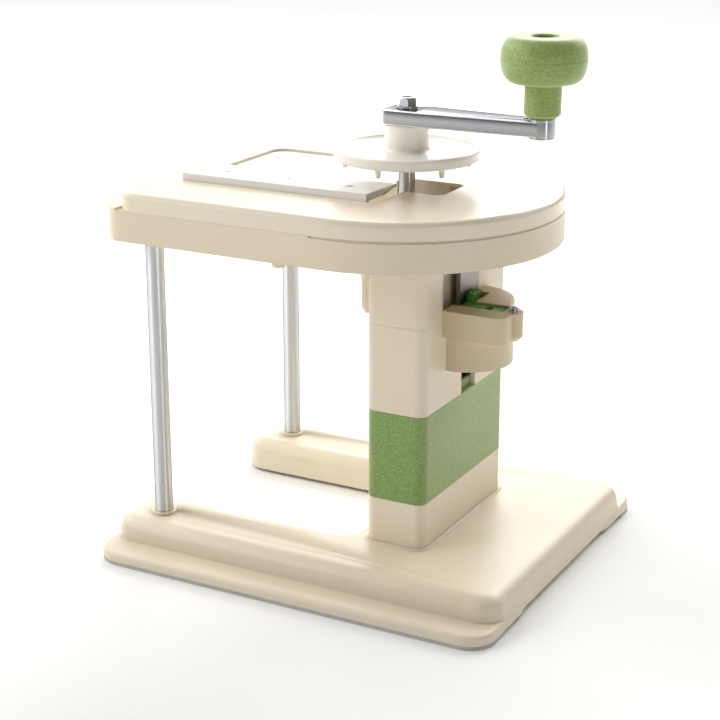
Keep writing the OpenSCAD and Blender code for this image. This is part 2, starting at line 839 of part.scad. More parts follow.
// The plan of the pocket that holds the thickness plate, open toward the knife
module pocket_plan(gap) {
    l = pocket_right - pocket_left - 2 * gap;
    w = pocket_back - pocket_front - gap;
    translate([gap, 0]) {
        round_rect(l, w, pocket_r - gap);
        square([l, pocket_r]);
    }
}

module thickness_places() {
    for (x = [pocket_left + thickness_screw_in, pocket_right - thickness_screw_in])
        translate([x, pocket_front + (pocket_back - pocket_front) * screw_row_share, 0]) children();
}

module thickness_plate() {
    color(white) difference() {
        translate([pocket_left, pocket_front, surface_z - slice_drop - slice_t])
            linear_extrude(slice_t) pocket_plan(fit);
        thickness_places() translate([0, 0, table_z]) cylinder(d = screw_d + 2 * fit, h = plate_h);
        thickness_places() translate([0, 0, surface_z - slice_drop - screw_head_h])
            cylinder(d = screw_head_d + 2 * fit, h = plate_h);
    }
}

module thickness_screws() {
    color(steel) thickness_places() translate([0, 0, surface_z - slice_drop - screw_head_h])
        screw(screw_d, slice_t - screw_head_h + pocket_floor - screw_tip_gap, screw_head_d, screw_head_h);
}

module knife_bar() {
    color(white) difference() {
        translate([throat_x, 0, surface_z]) rotate([90, 0, 90]) linear_extrude(knife_l)
            polygon([[-edge_y - knife_w, 0], [-edge_y - bevel_w, 0],
                [-edge_y, knife_t - knife_fall - knife_tip_t], [-edge_y, knife_t - knife_fall],
                [-edge_y - knife_w, knife_t]]);
        for (k = knife_screw_share) translate([throat_x + k * knife_l, -knife_screw_y, surface_z - over]) {
            cylinder(d = screw_d + 2 * fit, h = knife_t + 2 * over);
            translate([0, 0, over + knife_t - screw_head_h])
                cylinder(d = screw_head_d + 2 * fit, h = knife_t);
        }
    }
}

// The steel blade under the bar's bevel, its edge past the bar
module knife_blade() {
    rise = knife_t - knife_fall - knife_tip_t;
    l = norm([bevel_w, rise]);
    color(steel) translate([throat_x + fit, 0, surface_z]) rotate([90, 0, 90])
        linear_extrude(knife_l - 2 * fit) translate([-edge_y - bevel_w, 0]) rotate(atan2(rise, bevel_w))
            polygon([[blade_in, 0], [l + blade_out, 0], [l + blade_out - 1.6 * blade_t, -blade_t],
                [blade_in, -blade_t]]);
}

module knife_screws() {
    color(steel) for (k = knife_screw_share)
        translate([throat_x + k * knife_l, -knife_screw_y, surface_z + knife_t - screw_head_h])
            screw(screw_d, knife_t - screw_head_h + plate_h - screw_tip_gap, screw_head_d, screw_head_h);
}

// Latch

// The steel strip that hangs from the table into the housing
module hanger_strip() {
    x0 = column_face_x - hang_in;
    color(steel) difference() {
        union() {
            translate([x0, -hang_w / 2, hang_z]) cube([hang_t, hang_w, table_z - hang_z]);
            translate([x0, -hang_w / 2, table_z - hang_t]) cube([hang_foot_l, hang_w, hang_t]);
        }
        translate([x0 - over, upright_y + (upright_w - nose_w) / 2 - nose_gap, catch_z])
            cube([hang_t + 2 * over, nose_w + 2 * nose_gap, catch_h]);
        for (s = [-1, 1])
            translate([x0 + hang_foot_l - hang_screw_in, s * hang_w / 4, table_z - hang_t - over])
                cylinder(d = screw_d + 2 * fit, h = hang_t + 2 * over);
    }
}

module hanger_screws() {
    color(steel) for (s = [-1, 1])
        translate([column_face_x - hang_in + hang_foot_l - hang_screw_in, s * hang_w / 4, table_z - hang_t])
            mirror([0, 0, 1])
            screw(screw_d, hang_t + plate_h / 2, screw_head_d, screw_head_h);
}

module latch_housing() {
    color(cream) difference() {
        translate([column_face_x, 0, 0]) housing_shell();
        translate([pivot_x, -tray_front - pin_in, pivot_z]) rotate([-90, 0, 0])
            cylinder(d = pivot_d, h = tray_front + slot_back + 2 * pin_in);
        translate([spring_x, spring_y, housing_top - pocket_h - spring_seat_h])
            cylinder(d = spring_seat_d, h = spring_seat_h + over);
    }
}

// The housing without its seats for the pin and the spring, from the column's face
module housing_shell() {
    difference() {
        union() {
            intersection() {
                translate([0, 0, housing_z]) drum();
                translate([0, -housing_r, housing_z]) cube([housing_r, 2 * housing_r, housing_h]);
            }
            translate([0, -block_y, block_z]) linear_extrude(block_h) intersection() {
                translate([-block_r, 0]) round_rect(block_l + block_r, block_y - block_back, block_r);
                square([block_l, block_y - block_back]);
            }
            translate([tower_x, -tower_y, housing_top - tower_h + tower_d / 4])
                cylinder(d = tower_d, h = tower_h - tower_d / 4);
            translate([tower_x, -tower_y, housing_top - tower_h])
                cylinder(d1 = tower_d / 2, d2 = tower_d, h = tower_d / 4);
        }
        // the pocket of the latch
        translate([0, 0, housing_top - pocket_h]) linear_extrude(pocket_h + over) {
            translate([-over, -tray_front]) square([slot_l + over, tray_front + slot_back]);
            translate([-over, -tray_front]) square([tray_l + over, tray_front - tray_back]);
        }
        translate([tower_x, -tower_y, housing_top - tower_h / 2])
            cylinder(d = screw_d + 2 * run_fit, h = tower_h);
        for (y = [-1, 1]) translate([-over, y * housing_r / 2, housing_z + housing_h / 4])
            rotate([0, 90, 0]) cylinder(d = screw_d + 2 * run_fit, h = housing_r / 3);
    }
}

// The drum of the housing, with a round upper rim
module drum() {
    rotate_extrude() {
        square([housing_r - rim_fillet, housing_h]);
        square([housing_r, housing_h - rim_fillet]);
        translate([housing_r - rim_fillet, housing_h - rim_fillet]) circle(rim_fillet);
    }
}

module housing_screws() {
    color(steel) {
        translate([column_face_x + tower_x, -tower_y, housing_top])
            screw(screw_d, tower_h / 3, screw_head_d, screw_head_h);
        for (y = [-1, 1])
            translate([column_face_x - column_wall, y * housing_r / 2, housing_z + housing_h / 4])
                rotate([0, -90, 0]) screw(screw_d, column_wall + housing_r / 4, screw_head_d, screw_head_h);
    }
}

// The rocking latch: pressed down on its tongue, it takes its nose out of the strip's window
module release_latch() {
    nose_y = upright_y + (upright_w - nose_w) / 2;
    color(latch_green) difference() {
        union() {
            translate([latch_x, upright_y, pivot_z]) cube([upright_l, upright_w, upright_h]);
            translate([latch_x, tongue_y, pivot_z])
                cube([upright_l, upright_y + upright_w - tongue_y, tongue_rise + tongue_t]);
            translate([latch_x, tongue_y, pivot_z + tongue_rise]) cube([tongue_l, tongue_w, tongue_t]);
            translate([pivot_x, tongue_y, pivot_z]) rotate([-90, 0, 0])
                cylinder(r = barrel_r, h = upright_y + upright_w - tongue_y);
            // the nose, in the strip's window
            translate([latch_x - nose_l, nose_y, catch_z + nose_gap])
                cube([nose_l + over, nose_w, nose_h]);
        }
        translate([pivot_x, tongue_y - over, pivot_z]) rotate([-90, 0, 0])
            cylinder(d = pivot_d + 2 * run_fit, h = upright_y + upright_w - tongue_y + 2 * over);
        // the finger slot
        translate([latch_x + tongue_l * finger_share, tongue_y + (tongue_w - finger_w) / 2,
            pivot_z + tongue_rise + tongue_t - finger_deep]) cube([finger_l, finger_w, finger_deep + over]);
    }
}

module latch_pin() {
    color(steel) translate([pivot_x, -tray_front - pin_in, pivot_z]) rotate([-90, 0, 0])
        cylinder(d = pivot_d, h = tray_front + slot_back + 2 * pin_in);
}

// The coil under the latch's tongue
module latch_spring() {
    h = spring_seat_h + pivot_z + tongue_rise - housing_top + pocket_h;
    r = spring_d / 2 - spring_wire / 2;
    steps = 10;
    sides = 6;
    n = spring_n * steps;
    rise = h - spring_wire - 2 * run_fit;
    points = [for (i = [0:n], k = [0:sides - 1])
        let (a = 360 * i / steps, b = 360 * k / sides, q = r + spring_wire / 2 * cos(b))
        [q * cos(a), q * sin(a), spring_wire / 2 + run_fit + rise * i / n + spring_wire / 2 * sin(b)]];
    faces = concat([[for (k = [sides - 1:-1:0]) k]],
        [for (i = [0:n - 1], k = [0:sides - 1]) let (m = (k + 1) % sides)
            [i * sides + k, i * sides + m, (i + 1) * sides + m]],
        [for (i = [0:n - 1], k = [0:sides - 1]) let (m = (k + 1) % sides)
            [i * sides + k, (i + 1) * sides + m, (i + 1) * sides + k]],
        [[for (k = [0:sides - 1]) n * sides + k]]);
    color(steel) translate([spring_x, spring_y, housing_top - pocket_h - spring_seat_h])
        polyhedron(points, faces);
}

// Crank

module shaft() {
    z0 = guide_z + thrust_h;
    color(steel) translate([shaft_x, 0, 0]) {
        translate([0, 0, z0]) cylinder(d = shaft_d, h = arm_z - z0);
        translate([0, 0, arm_z - over]) cylinder(d = stud_d, h = over + arm_t + washer_t + nut_h - stud_drop);
    }
}

module pusher_disk() {
    r = disk_d / 2;
    color(white) translate([shaft_x, 0, 0]) {
        translate([0, 0, disk_z]) rotate_extrude() polygon(concat(
            [[shaft_d / 2 + run_fit, disk_rim_h / 2 - disk_skin],
             [r - 2 * rim_w, disk_rim_h / 2 - disk_skin], [r - rim_w, 0], [r - rim_w / 4, 0],
             [r, rim_w / 2], [r, disk_rim_h - rim_w / 2], [r - rim_w / 4, disk_rim_h],
             [r - rim_w, disk_rim_h], [r - 2 * rim_w, disk_rim_h / 2 + disk_skin / 2]],
            // the hub's fillet on the dished face
            [for (a = [0:15:90]) [hub_d / 2 + hub_fillet * (1 - sin(a)),
                disk_rim_h / 2 + disk_skin / 2 + hub_fillet * (1 - cos(a))]],
            [[hub_d / 2, disk_rim_h + hub_h],
             [shaft_d / 2 + run_fit, disk_rim_h + hub_h]]));
        for (i = [0:prong_n - 1]) rotate(-90 + 360 * i / prong_n)
            translate([prong_ring_r, 0, disk_z - prong_h])
                cylinder(d1 = prong_tip_d, d2 = prong_d, h = prong_h + disk_rim_h / 2 - disk_skin + over);
    }
}

module crank_arm() {
    boss_d = arm_knob_w;
    color("#D5D7DA") translate([shaft_x, 0, arm_z]) difference() {
        union() {
            linear_extrude(arm_t) {
                polygon([[-arm_end + arm_corner_r, -arm_shaft_w / 2], [arm_shaft_w / 2, -arm_shaft_w / 2],
                    [crank_r, -arm_knob_w / 2], [crank_r, arm_knob_w / 2], [arm_shaft_w / 2, arm_shaft_w / 2],
                    [-arm_end + arm_corner_r, arm_shaft_w / 2]]);
                translate([-arm_end, -arm_shaft_w / 2])
                    round_rect(arm_end + arm_shaft_w / 2, arm_shaft_w, arm_corner_r);
            }
            translate([crank_r, 0, -boss_drop]) cylinder(d = boss_d, h = arm_t + boss_drop + boss_rise);
        }
        translate([0, 0, -over]) cylinder(d = stud_d + 2 * run_fit, h = arm_t + 2 * over);
        translate([crank_r, 0, -boss_drop - over])
            cylinder(r = knob_bore_r - 2 * fit, h = arm_t + boss_drop + boss_rise + 2 * over);
    }
}

module crank_washer() {
    color(steel) translate([shaft_x, 0, arm_top]) difference() {
        cylinder(d = washer_d, h = washer_t);
        translate([0, 0, -over]) cylinder(d = stud_d + 2 * fit, h = washer_t + 2 * over);
    }
}

module crank_nut() {
    color(steel) translate([shaft_x, 0, arm_top + washer_t]) difference() {
        intersection() {
            cylinder(d = nut_w / cos(30), h = nut_h, $fn = 6);
            cylinder(d1 = nut_w + nut_h, d2 = nut_w, h = nut_h);
        }
        translate([0, 0, -over]) cylinder(d = stud_d + 2 * run_fit, h = nut_h + 2 * over);
    }
}

// Knob

module knob_bolt() {
    r = knob_bore_r - run_fit;
    z1 = knob_top - knob_hole_h;
    color(steel) translate([shaft_x + crank_r, 0, 0]) {
        translate([0, 0, arm_z - boss_drop])
            cylinder(r = knob_bore_r - 3 * fit, h = arm_t + boss_drop + boss_rise + over);
        translate([0, 0, arm_top + boss_rise]) cylinder(r = r, h = z1 - arm_top - boss_rise + lift_clear);
        translate([0, 0, z1 + lift_clear]) difference() {
            cylinder(d = bolt_cap_d, h = bolt_cap_h);
            translate([0, 0, bolt_cap_h - bolt_key_h]) cylinder(d = bolt_key_d, h = bolt_cap_h, $fn = 6);
        }
    }
}

module knob() {
    r = knob_d / 2;
    h = knob_head_h;
    // head profile: outer points as shares of the radius and the height, from the neck up
    low_share = [[0.72, 0.0], [0.84, 0.06], [0.93, 0.17], [0.985, 0.32], [1.0, 0.47]];
    high_share = [[1.0, 0.58], [0.985, 0.72], [0.94, 0.85], [0.86, 0.95], [0.76, 1.0]];
    color(green) translate([shaft_x + crank_r, 0, knob_z]) rotate_extrude() polygon(concat(
        [[knob_bore_r, 0], [neck_d / 2 - knob_neck_chamfer, 0], [neck_d / 2, knob_neck_chamfer],
         [neck_d / 2, neck_h]],
        [for (p = low_share) [p[0] * r, neck_h + p[1] * h]],
        [for (p = high_share) [p[0] * r, neck_h + p[1] * h]],
        [[knob_hole_d / 2, neck_h + h], [knob_hole_d / 2, neck_h + h - knob_hole_h],
         [knob_bore_r, neck_h + h - knob_hole_h]]));
}

base();
foot_strip(-1);  // front_foot_strip
foot_strip(1);  // rear_foot_strip
rod(-1);  // front_rod
rod(1);  // rear_rod
rod_screws();
column_foot();
column_spacer();
column_lower();
column_upper();
column_bolts();
shaft_guide();
guide_screws();
thrust_pad();
sleeve_ring();
guide_sleeve();
table_body();
table_top();
table_screws();
thickness_plate();
thickness_screws();
knife_bar();
knife_blade();
knife_screws();
hanger_strip();
hanger_screws();
latch_housing();
housing_screws();
release_latch();
latch_pin();
latch_spring();
shaft();
pusher_disk();
crank_arm();
crank_washer();
crank_nut();
knob_bolt();
knob();
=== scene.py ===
import math

import bpy
import bmesh
from mathutils import Matrix, Vector


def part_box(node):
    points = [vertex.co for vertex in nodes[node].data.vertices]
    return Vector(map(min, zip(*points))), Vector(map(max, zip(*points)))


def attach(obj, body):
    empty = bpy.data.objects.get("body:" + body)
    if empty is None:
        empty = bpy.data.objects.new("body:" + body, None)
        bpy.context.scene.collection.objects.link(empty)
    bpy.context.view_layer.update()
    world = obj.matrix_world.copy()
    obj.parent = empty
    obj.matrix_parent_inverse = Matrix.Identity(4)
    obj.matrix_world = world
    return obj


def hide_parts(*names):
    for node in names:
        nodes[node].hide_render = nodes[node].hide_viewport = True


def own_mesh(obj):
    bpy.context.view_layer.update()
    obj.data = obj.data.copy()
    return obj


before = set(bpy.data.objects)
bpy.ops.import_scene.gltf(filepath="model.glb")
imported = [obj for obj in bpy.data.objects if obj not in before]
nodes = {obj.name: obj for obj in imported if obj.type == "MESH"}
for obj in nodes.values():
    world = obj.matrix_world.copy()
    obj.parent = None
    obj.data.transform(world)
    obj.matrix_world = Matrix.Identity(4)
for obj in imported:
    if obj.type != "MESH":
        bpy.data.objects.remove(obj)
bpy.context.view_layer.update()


# The forked base: one injection moulding of ivory ABS, a raised slab with two arms and a low flange
# along each side. The column stands in a thin collar on it, and each rod in a raised ring. Light runs
# softly round its large edges, and it stands on two strips glued under the flanges.

BASE_X, SLAB_Y, FLANGE_Y, GAP_Y, ROOT_X = 0.120, 0.094, 0.110, 0.048, 0.009
FLOOR_GAP, FLANGE_TOP, SLAB_TOP = 0.002, 0.0075, 0.020
LEAN, SLAB_EDGE, SLAB_FOOT_EDGE, TIP_R, END_R, ROOT_R = 0.0025, 0.007, 0.003, 0.013, 0.014, 0.009
FLANGE_R, FLANGE_EDGE = 0.015, 0.0025
COLLAR_W, COLLAR_H, COLLAR_R, COLLAR_EDGE = 0.002, 0.0009, 0.008, 0.0008
RING_R, RING_H, ROD_HOLE_R, ROD_FLOOR = 0.007, 0.0015, 0.00515, 0.008
HEAD_R, HEAD_H, BOLT_HEAD_R, COLLAR_FIT, RING_EDGE = 0.0045, 0.003, 0.004, 0.00015, 0.0004
IVORY, IVORY_WARM = "EBDEC7", "E8DAC1"

# a point this near a place is at it, and a face whose normal rises less than this is a wall
NEAR, WALL_RISE = 1e-5, 0.6
# a cutter runs this far past what it cuts, and a joined form reaches this far into its neighbour
CUT_PAST, SUNK = 0.003, 0.001


def linear(hex_colour):
    """An sRGB hex colour as the linear RGBA that a shader wants."""
    parts = [int(hex_colour[i:i + 2], 16) / 255 for i in (0, 2, 4)]
    return tuple(c / 12.92 if c <= 0.04045 else ((c + 0.055) / 1.055) ** 2.4 for c in parts) + (1.0,)


def start_plane(name, low, high, height):
    """A flat rectangle at its size and place, the start of a piece."""
    bpy.ops.object.select_all(action="DESELECT")
    middle = ((low[0] + high[0]) / 2, (low[1] + high[1]) / 2, height)
    bpy.ops.mesh.primitive_plane_add(size=1, location=middle)
    piece = bpy.context.active_object
    piece.name = piece.data.name = name
    piece.scale = (high[0] - low[0], high[1] - low[1], 1)
    bpy.ops.object.transform_apply(location=True, rotation=True, scale=True)
    return piece


def pick(piece, kind, passes):
    """In edit mode, selects only the verts, edges or faces whose middle passes the test."""
    bpy.ops.mesh.select_mode(type={"verts": "VERT", "edges": "EDGE", "faces": "FACE"}[kind])
    bpy.ops.mesh.select_all(action="DESELECT")
    mesh = bmesh.from_edit_mesh(piece.data)
    for item in getattr(mesh, kind):
        corners = [item] if kind == "verts" else item.verts
        if passes(sum((v.co for v in corners), Vector()) / len(corners), item):
            item.select_set(True)
    mesh.select_flush_mode()
    bmesh.update_edit_mesh(piece.data)


def round_corners(piece, radius, passes, steps):
    """Rounds those corners of a flat outline."""
    pick(piece, "verts", passes)
    bpy.ops.mesh.bevel(offset=radius, segments=steps, affect="VERTICES")


def round_rim(piece, height, radius, steps):
    """Rounds the edge where a piece's walls meet its level face at this height."""
    pick(piece, "edges", lambda m, e: all(abs(v.co.z - height) < NEAR for v in e.verts)
         and any(abs(f.normal.z) < WALL_RISE for f in e.link_faces))
    bpy.ops.mesh.bevel(offset=radius, segments=steps, affect="EDGES")


def close_up(piece, smooth_deg=40):
    """Back to object mode with the faces outward and the round parts smooth."""
    bpy.ops.mesh.select_all(action="SELECT")
    bpy.ops.mesh.normals_make_consistent(inside=False)
    bpy.ops.object.mode_set(mode="OBJECT")
    bpy.ops.object.shade_smooth_by_angle(angle=math.radians(smooth_deg))


def turned(name, centre, rings, around=64, closed=False):
    """A round piece drawn ring by ring as (radius, height); closed joins its last ring to its first."""
    bpy.ops.object.select_all(action="DESELECT")
    bpy.ops.mesh.primitive_circle_add(vertices=around, radius=rings[0][0],
                                      location=(centre[0], centre[1], rings[0][1]))
    piece = bpy.context.active_object
    piece.name = piece.data.name = name
    bpy.ops.object.transform_apply(location=True, rotation=True, scale=True)
    bpy.ops.object.mode_set(mode="EDIT")
    bpy.ops.mesh.select_all(action="SELECT")
    if not closed:
        bpy.ops.mesh.edge_face_add()
        pick(piece, "edges", lambda m, e: True)
    for (r0, z0), (r1, z1) in zip(rings, rings[1:]):
        bpy.ops.mesh.extrude_edges_move(TRANSFORM_OT_translate={"value": (0, 0, z1 - z0)})
        bpy.ops.transform.resize(value=(r1 / r0, r1 / r0, 1), center_override=(centre[0], centre[1], z1))
    if closed:
        bpy.ops.mesh.select_all(action="SELECT")
        bpy.ops.mesh.remove_doubles(threshold=1e-6)
    else:
        bpy.ops.mesh.edge_face_add()
    close_up(piece)
    return piece


def cut_out(piece, cutter):
    """Cuts one closed piece out of another with an applied Boolean."""
    bpy.ops.object.select_all(action="DESELECT")
    bpy.context.view_layer.objects.active = piece
    piece.select_set(True)
    cut = piece.modifiers.new("cut", "BOOLEAN")
    cut.operation, cut.solver, cut.object = "DIFFERENCE", "EXACT", cutter
    bpy.ops.object.modifier_apply(modifier="cut")
    bpy.data.objects.remove(cutter)


def join_into(piece, others):
    """Makes the others part of the first piece's mesh."""
    bpy.ops.object.select_all(action="DESELECT")
    for other in others:
        other.select_set(True)
    piece.select_set(True)
    bpy.context.view_layer.objects.active = piece
    bpy.ops.object.join()


def fork_slab(name):
    """The raised slab: a rectangle with a gap cut in, round corners, leaning walls and a round rim."""
    piece = start_plane(name, (-BASE_X, -SLAB_Y), (BASE_X, SLAB_Y), FLOOR_GAP)
    bpy.ops.object.mode_set(mode="EDIT")
    cuts = (((ROOT_X, 0, 0), (1, 0, 0)), ((0, GAP_Y, 0), (0, 1, 0)), ((0, -GAP_Y, 0), (0, 1, 0)))
    for place, normal in cuts:
        bpy.ops.mesh.select_all(action="SELECT")
        bpy.ops.mesh.bisect(plane_co=place, plane_no=normal)
    pick(piece, "faces", lambda m, f: m.x < ROOT_X and abs(m.y) < GAP_Y)
    bpy.ops.mesh.delete(type="FACE")
    bpy.ops.mesh.select_all(action="SELECT")
    bpy.ops.mesh.dissolve_limited()
    round_corners(piece, TIP_R, lambda m, v: m.x < -BASE_X + NEAR, steps=10)
    round_corners(piece, END_R, lambda m, v: m.x > BASE_X - NEAR, steps=10)
    round_corners(piece, ROOT_R, lambda m, v: abs(m.x - ROOT_X) < NEAR and abs(abs(m.y) - GAP_Y) < NEAR,
                  steps=10)
    bpy.ops.mesh.select_all(action="SELECT")
    bpy.ops.mesh.extrude_region_move(TRANSFORM_OT_translate={"value": (0, 0, SLAB_TOP - FLOOR_GAP)})
    pick(piece, "faces", lambda m, f: m.z > SLAB_TOP - NEAR)
    bpy.ops.mesh.inset(thickness=LEAN, depth=0)
    # the upright walls and the inset's ring give way to one leaning wall
    pick(piece, "faces", lambda m, f: FLOOR_GAP + NEAR < m.z < SLAB_TOP - NEAR
         or (m.z > SLAB_TOP - NEAR and len(f.verts) == 4))
    bpy.ops.mesh.delete(type="FACE")
    pick(piece, "edges", lambda m, e: e.is_boundary)
    bpy.ops.mesh.bridge_edge_loops()
    round_rim(piece, SLAB_TOP, SLAB_EDGE, steps=8)
    round_rim(piece, FLOOR_GAP, SLAB_FOOT_EDGE, steps=4)
    close_up(piece)
    return piece


def level_block(name, low, high, foot, top, corner, edge, steps=8):
    """A flat moulded block with round corners and a round upper edge."""
    piece = start_plane(name, low, high, foot)
    bpy.ops.object.mode_set(mode="EDIT")
    round_corners(piece, corner, lambda m, v: True, steps)
    bpy.ops.mesh.select_all(action="SELECT")
    bpy.ops.mesh.extrude_region_move(TRANSFORM_OT_translate={"value": (0, 0, top - foot)})
    if edge:
        round_rim(piece, top, edge, steps=5)
    close_up(piece)
    return piece


def box_middle(name):
    """The middle in plan of a CAD node."""
    low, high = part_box(name)
    return (low[0] + high[0]) / 2, (low[1] + high[1]) / 2


slab = fork_slab("forked_base")
rods = [box_middle("front_rod"), box_middle("rear_rod")]
bolts_low, bolts_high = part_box("column_bolts")
bolts = [(x, y) for x in (bolts_low[0] + BOLT_HEAD_R, bolts_high[0] - BOLT_HEAD_R)
         for y in (bolts_low[1] + BOLT_HEAD_R, bolts_high[1] - BOLT_HEAD_R)]
for place in rods:
    socket = [(ROD_HOLE_R, ROD_FLOOR), (ROD_HOLE_R, SLAB_TOP + CUT_PAST)]
    cut_out(slab, turned("rod_socket", place, socket, around=48))
for place in rods + bolts:
    cut_out(slab, turned("head_seat", place, [(HEAD_R, 0), (HEAD_R, FLOOR_GAP + HEAD_H)], around=32))
extras = [level_block("flange", (-BASE_X, y0), (BASE_X, y1), FLOOR_GAP, FLANGE_TOP, FLANGE_R, FLANGE_EDGE)
          for y0, y1 in ((-FLANGE_Y, -GAP_Y), (GAP_Y, FLANGE_Y))]
for place in rods:
    extras.append(turned("rod_ring", place, [
        (ROD_HOLE_R, SLAB_TOP - SUNK), (RING_R, SLAB_TOP - SUNK), (RING_R, SLAB_TOP + RING_H - RING_EDGE),
        (RING_R - RING_EDGE, SLAB_TOP + RING_H), (ROD_HOLE_R, SLAB_TOP + RING_H),
        (ROD_HOLE_R, SLAB_TOP - SUNK)], around=48, closed=True))
foot_low, foot_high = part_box("column_foot")
collar = level_block("collar", (foot_low[0] - COLLAR_W, foot_low[1] - COLLAR_W),
                     (foot_high[0] + COLLAR_W, foot_high[1] + COLLAR_W), SLAB_TOP - SUNK,
                     SLAB_TOP + COLLAR_H, COLLAR_R, COLLAR_EDGE)
cut_out(collar, level_block("collar_hole", (foot_low[0] - COLLAR_FIT, foot_low[1] - COLLAR_FIT),
                            (foot_high[0] + COLLAR_FIT, foot_high[1] + COLLAR_FIT), SLAB_TOP - CUT_PAST,
                            SLAB_TOP + CUT_PAST, COLLAR_R - COLLAR_W + COLLAR_FIT, edge=0))
join_into(slab, extras + [collar])
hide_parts("base")
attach(slab, "frame")


def add_node(tree, kind, settings=None, links=None):
    """A new shader node with its sockets or properties set and its inputs linked."""
    node = tree.nodes.new(kind)
    for name, value in (settings or {}).items():
        if isinstance(name, int) or name in node.inputs:
            node.inputs[name].default_value = value
        else:
            setattr(node, name, value)
    for name, source in (links or {}).items():
        tree.links.new(source, node.inputs[name])
    return node


def new_material(name, **shader_settings):
    """A material with one shader: returns it with its tree, its shader and the Object coordinates."""
    material = bpy.data.materials.new(name)
    material.use_nodes = True
    tree = material.node_tree
    shader = tree.nodes["Principled BSDF"]
    for socket, value in shader_settings.items():
        shader.inputs[socket.replace("_", " ")].default_value = value
    place = tree.nodes.new("ShaderNodeTexCoord").outputs["Object"]
    return material, tree, shader, place


def per_mm(size):
    """The scale of a pattern whose features are this many millimetres apart."""
    return 1000.0 / size


# a Mix node's two colours and its mixed one, by number, since other sockets share their names
COLOUR_A, COLOUR_B, MIXED = 6, 7, 2


def two_tints(tree, shader, factor, colour, tint):
    """The base colour as a mix of two tints."""
    mix = add_node(tree, "ShaderNodeMix", {"data_type": "RGBA"}, {"Factor": factor})
    mix.inputs[COLOUR_A].default_value = linear(colour)
    mix.inputs[COLOUR_B].default_value = linear(tint)
    tree.links.new(mix.outputs[MIXED], shader.inputs["Base Color"])


def gloss_between(tree, shader, value, low, high):
    """A roughness that wanders between two values."""
    gloss = add_node(tree, "ShaderNodeMapRange", {"To Min": low, "To Max": high}, {"Value": value})
    tree.links.new(gloss.outputs["Result"], shader.inputs["Roughness"])


def moulded_abs(name, colour, tint, gloss_low, gloss_high, grain=0.8, edge=0.0009):
    """Moulded ABS: two close tints in soft clouds, a satin skin and the mould's very fine texture."""
    material, tree, shader, place = new_material(name, IOR=1.53)
    clouds = add_node(tree, "ShaderNodeTexNoise", {"Scale": per_mm(70), "Detail": 2.0}, {"Vector": place})
    two_tints(tree, shader, clouds.outputs["Fac"], colour, tint)
    sheen = add_node(tree, "ShaderNodeTexNoise", {"Scale": per_mm(45), "Detail": 1.0}, {"Vector": place})
    gloss_between(tree, shader, sheen.outputs["Fac"], gloss_low, gloss_high)
    skin = add_node(tree, "ShaderNodeTexNoise", {"Scale": per_mm(grain), "Detail": 2.0}, {"Vector": place})
    bump = add_node(tree, "ShaderNodeBump", {"Strength": 0.12, "Distance": 0.00003},
                    {"Height": skin.outputs["Fac"]})
    if edge:
        # a mould's edges are never sharp: light runs round them
        soft_edge = add_node(tree, "ShaderNodeBevel", {"samples": 6, "Radius": edge})
        tree.links.new(soft_edge.outputs["Normal"], bump.inputs["Normal"])
    tree.links.new(bump.outputs["Normal"], shader.inputs["Normal"])
    return material


def finish_with(material, *pieces):
    """These pieces and CAD nodes get this material on all their slots."""
    for piece in pieces:
        slots = (nodes[piece] if isinstance(piece, str) else piece).data.materials
        if not slots:
            slots.append(material)
        for i in range(len(slots)):
            slots[i] = material


ivory_abs = moulded_abs("ivory_abs", IVORY, IVORY_WARM, 0.34, 0.44)
finish_with(ivory_abs, slab)


# The anti-slip strips: soft grey rubber, cut from sheet and glued under the two flanges.
# They look flat and matt, with a slightly dusty tint.

def sheet_rubber(name, colour, dust_colour):
    """Sheet rubber: matt and very slightly rough, with a dusty tint in specks."""
    material, tree, shader, place = new_material(name, Roughness=0.82, IOR=1.52)
    dust = add_node(tree, "ShaderNodeTexNoise", {"Scale": per_mm(3), "Detail": 4.0}, {"Vector": place})
    two_tints(tree, shader, dust.outputs["Fac"], colour, dust_colour)
    bump = add_node(tree, "ShaderNodeBump", {"Strength": 0.3, "Distance": 0.00005},
                    {"Height": dust.outputs["Fac"]})
    tree.links.new(bump.outputs["Normal"], shader.inputs["Normal"])
    return material


finish_with(sheet_rubber("grey_rubber", "C4C4C0", "B3B3AE"), "front_foot_strip", "rear_foot_strip")


# The two rods: stainless bar ground round its axis, which draws each reflection out up and down into a
# bright line between darker sides; a dark grey rim colour darkens the sides further, painted shade. A last
# wipe left faint lines along them. They are pressed into the base and screwed from below, with plain steel
# screws of an even, soft shine.

# the axes that lines run along, how long a line is for its width, and how far the gloss wanders
ALONG, UP = 0, 2
LINE_LONG, GLOSSIER, DULLER = 60, 0.8, 1.3


def polished_metal(name, colour, roughness, line_mm, axis, depth=0.15, rim="FFFFFF", ground=0.0):
    """Polished metal with faint lines along one axis; its rim colour shows where it turns away.
    Ground round an upright axis, it draws each reflection out up and down."""
    material, tree, shader, place = new_material(name, Metallic=1.0, Anisotropic=ground)
    if ground:
        upright = add_node(tree, "ShaderNodeCombineXYZ", {"Z": 1.0})
        tree.links.new(upright.outputs["Vector"], shader.inputs["Tangent"])
    shader.inputs["Specular Tint"].default_value = linear(rim)
    shader.inputs["Base Color"].default_value = linear(colour)
    stretch = [per_mm(line_mm)] * 3
    stretch[axis] = per_mm(line_mm * LINE_LONG)
    lines = add_node(tree, "ShaderNodeMapping", {"Scale": stretch}, {"Vector": place})
    brush = add_node(tree, "ShaderNodeTexNoise", {"Scale": 1.0, "Detail": 2.0},
                     {"Vector": lines.outputs["Vector"]})
    gloss_between(tree, shader, brush.outputs["Fac"], roughness * GLOSSIER, roughness * DULLER)
    bump = add_node(tree, "ShaderNodeBump", {"Strength": depth, "Distance": 0.00001},
                    {"Height": brush.outputs["Fac"]})
    tree.links.new(bump.outputs["Normal"], shader.inputs["Normal"])
    return material
